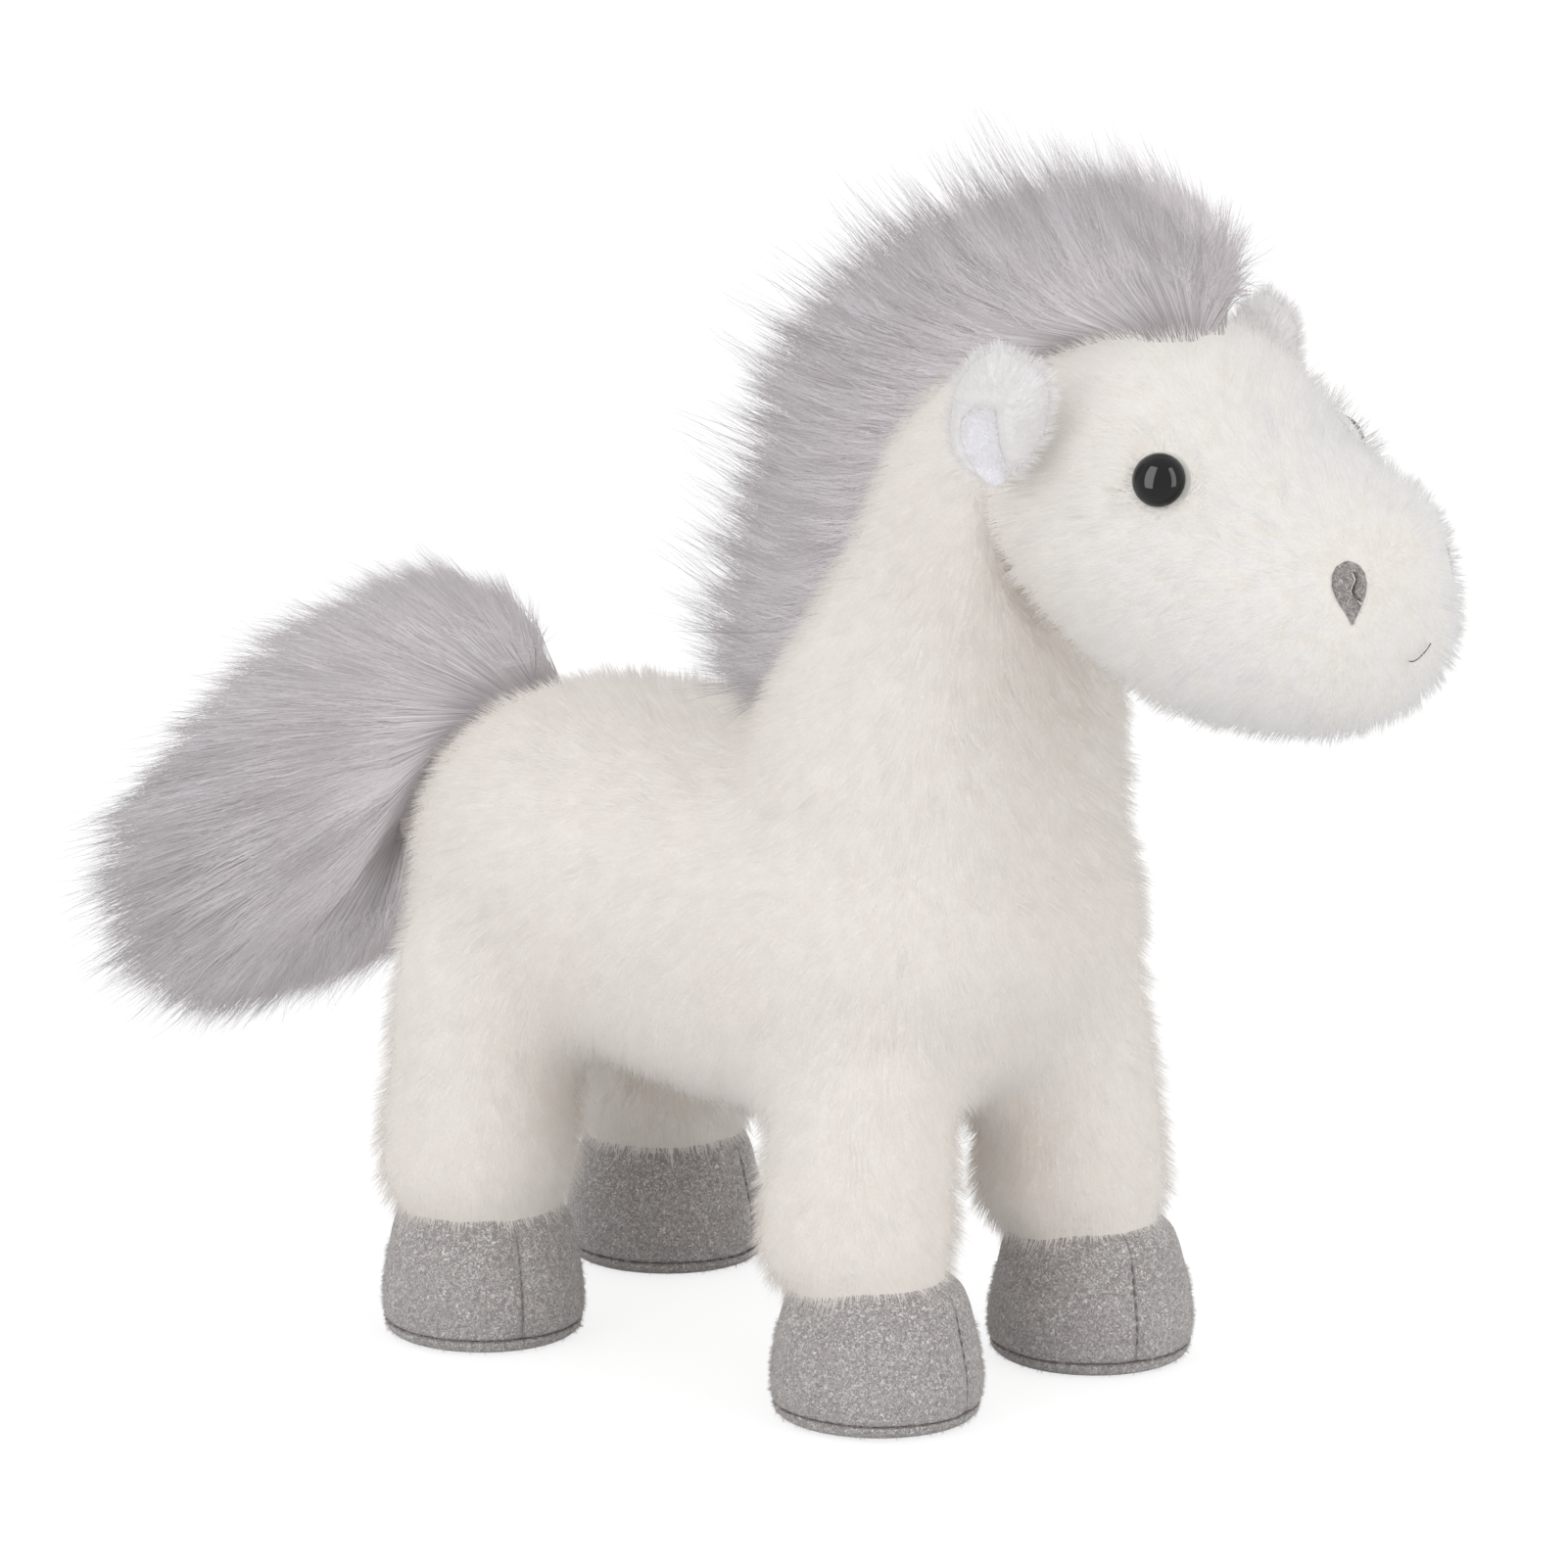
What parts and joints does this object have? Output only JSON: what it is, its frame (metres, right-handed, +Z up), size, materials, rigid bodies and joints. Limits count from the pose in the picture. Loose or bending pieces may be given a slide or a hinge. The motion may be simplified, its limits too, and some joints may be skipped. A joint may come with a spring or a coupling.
{
  "type": "plush horse",
  "caption": "Standing soft toy horse in short white plush, with a long grey pile mane and tail, domed eyes and stitched grey suede hooves.",
  "frame": {"origin": "on the floor, at the middle of the whole toy's box", "axes": "+X forwards, from the tail to the muzzle; +Y to the horse's left; +Z up"},
  "size_m": [0.3896, 0.1269, 0.2884],
  "materials": {
    "white_plush": "short soft knitted pile in warm white, 6 to 8 mm deep, with a matt fibre sheen",
    "white_velboa": "smooth 1 mm pile in a cooler white",
    "long_grey_pile": "long soft lilac-grey pile, combed back, about 45 mm",
    "grey_suede": "matt grey microsuede with a short brushed nap and tonal stitches",
    "grey_velboa": "grey velboa with a short pile, pinched into a fold",
    "grey_thread": "dark grey sewing thread, half sunk in the pile",
    "black_gloss_plastic": "moulded black plastic, polished like glass",
    "washer_plastic": "plain white polyethylene"
  },
  "bodies": {
    "body": {"torso": "white_plush", "neck": "white_plush", "head": "white_plush", "mane": "long_grey_pile", "mouth_stitch": "grey_thread", "eye_left": "black_gloss_plastic", "eye_washer_left": "washer_plastic", "nostril_left": "grey_velboa", "eye_right": "black_gloss_plastic", "eye_washer_right": "washer_plastic", "nostril_right": "grey_velboa", "leg_front_left": "white_plush", "hoof_front_left_left_panel": "grey_suede", "hoof_front_left_right_panel": "grey_suede", "sole_front_left": "grey_suede", "leg_front_right": "white_plush", "hoof_front_right_left_panel": "grey_suede", "hoof_front_right_right_panel": "grey_suede", "sole_front_right": "grey_suede", "leg_hind_left": "white_plush", "hoof_hind_left_left_panel": "grey_suede", "hoof_hind_left_right_panel": "grey_suede", "sole_hind_left": "grey_suede", "leg_hind_right": "white_plush", "hoof_hind_right_left_panel": "grey_suede", "hoof_hind_right_right_panel": "grey_suede", "sole_hind_right": "grey_suede"},
    "tail": {"tail": "long_grey_pile"},
    "ear_left": {"ear_left": "white_plush", "ear_lining_left": "white_velboa"},
    "ear_right": {"ear_right": "white_plush", "ear_lining_right": "white_velboa"}
  },
  "joints": [
    {"name": "tail_lift", "type": "hinge", "parent": "body", "child": "tail", "pos_m": [-0.06368, 0, 0.14728], "axis": [0, 1, 0], "range_deg": [0, 40], "stiffness_Nm_per_rad": 0.05},
    {"name": "ear_left_flop", "type": "hinge", "parent": "body", "child": "ear_left", "pos_m": [0.11482, 0.04547, 0.224], "axis": [-1, 0, 0], "range_deg": [-15, 60], "stiffness_Nm_per_rad": 0.004},
    {"name": "ear_right_flop", "type": "hinge", "parent": "body", "child": "ear_right", "pos_m": [0.11482, -0.04548, 0.224], "axis": [1, 0, 0], "range_deg": [-15, 60], "stiffness_Nm_per_rad": 0.004}
  ]
}
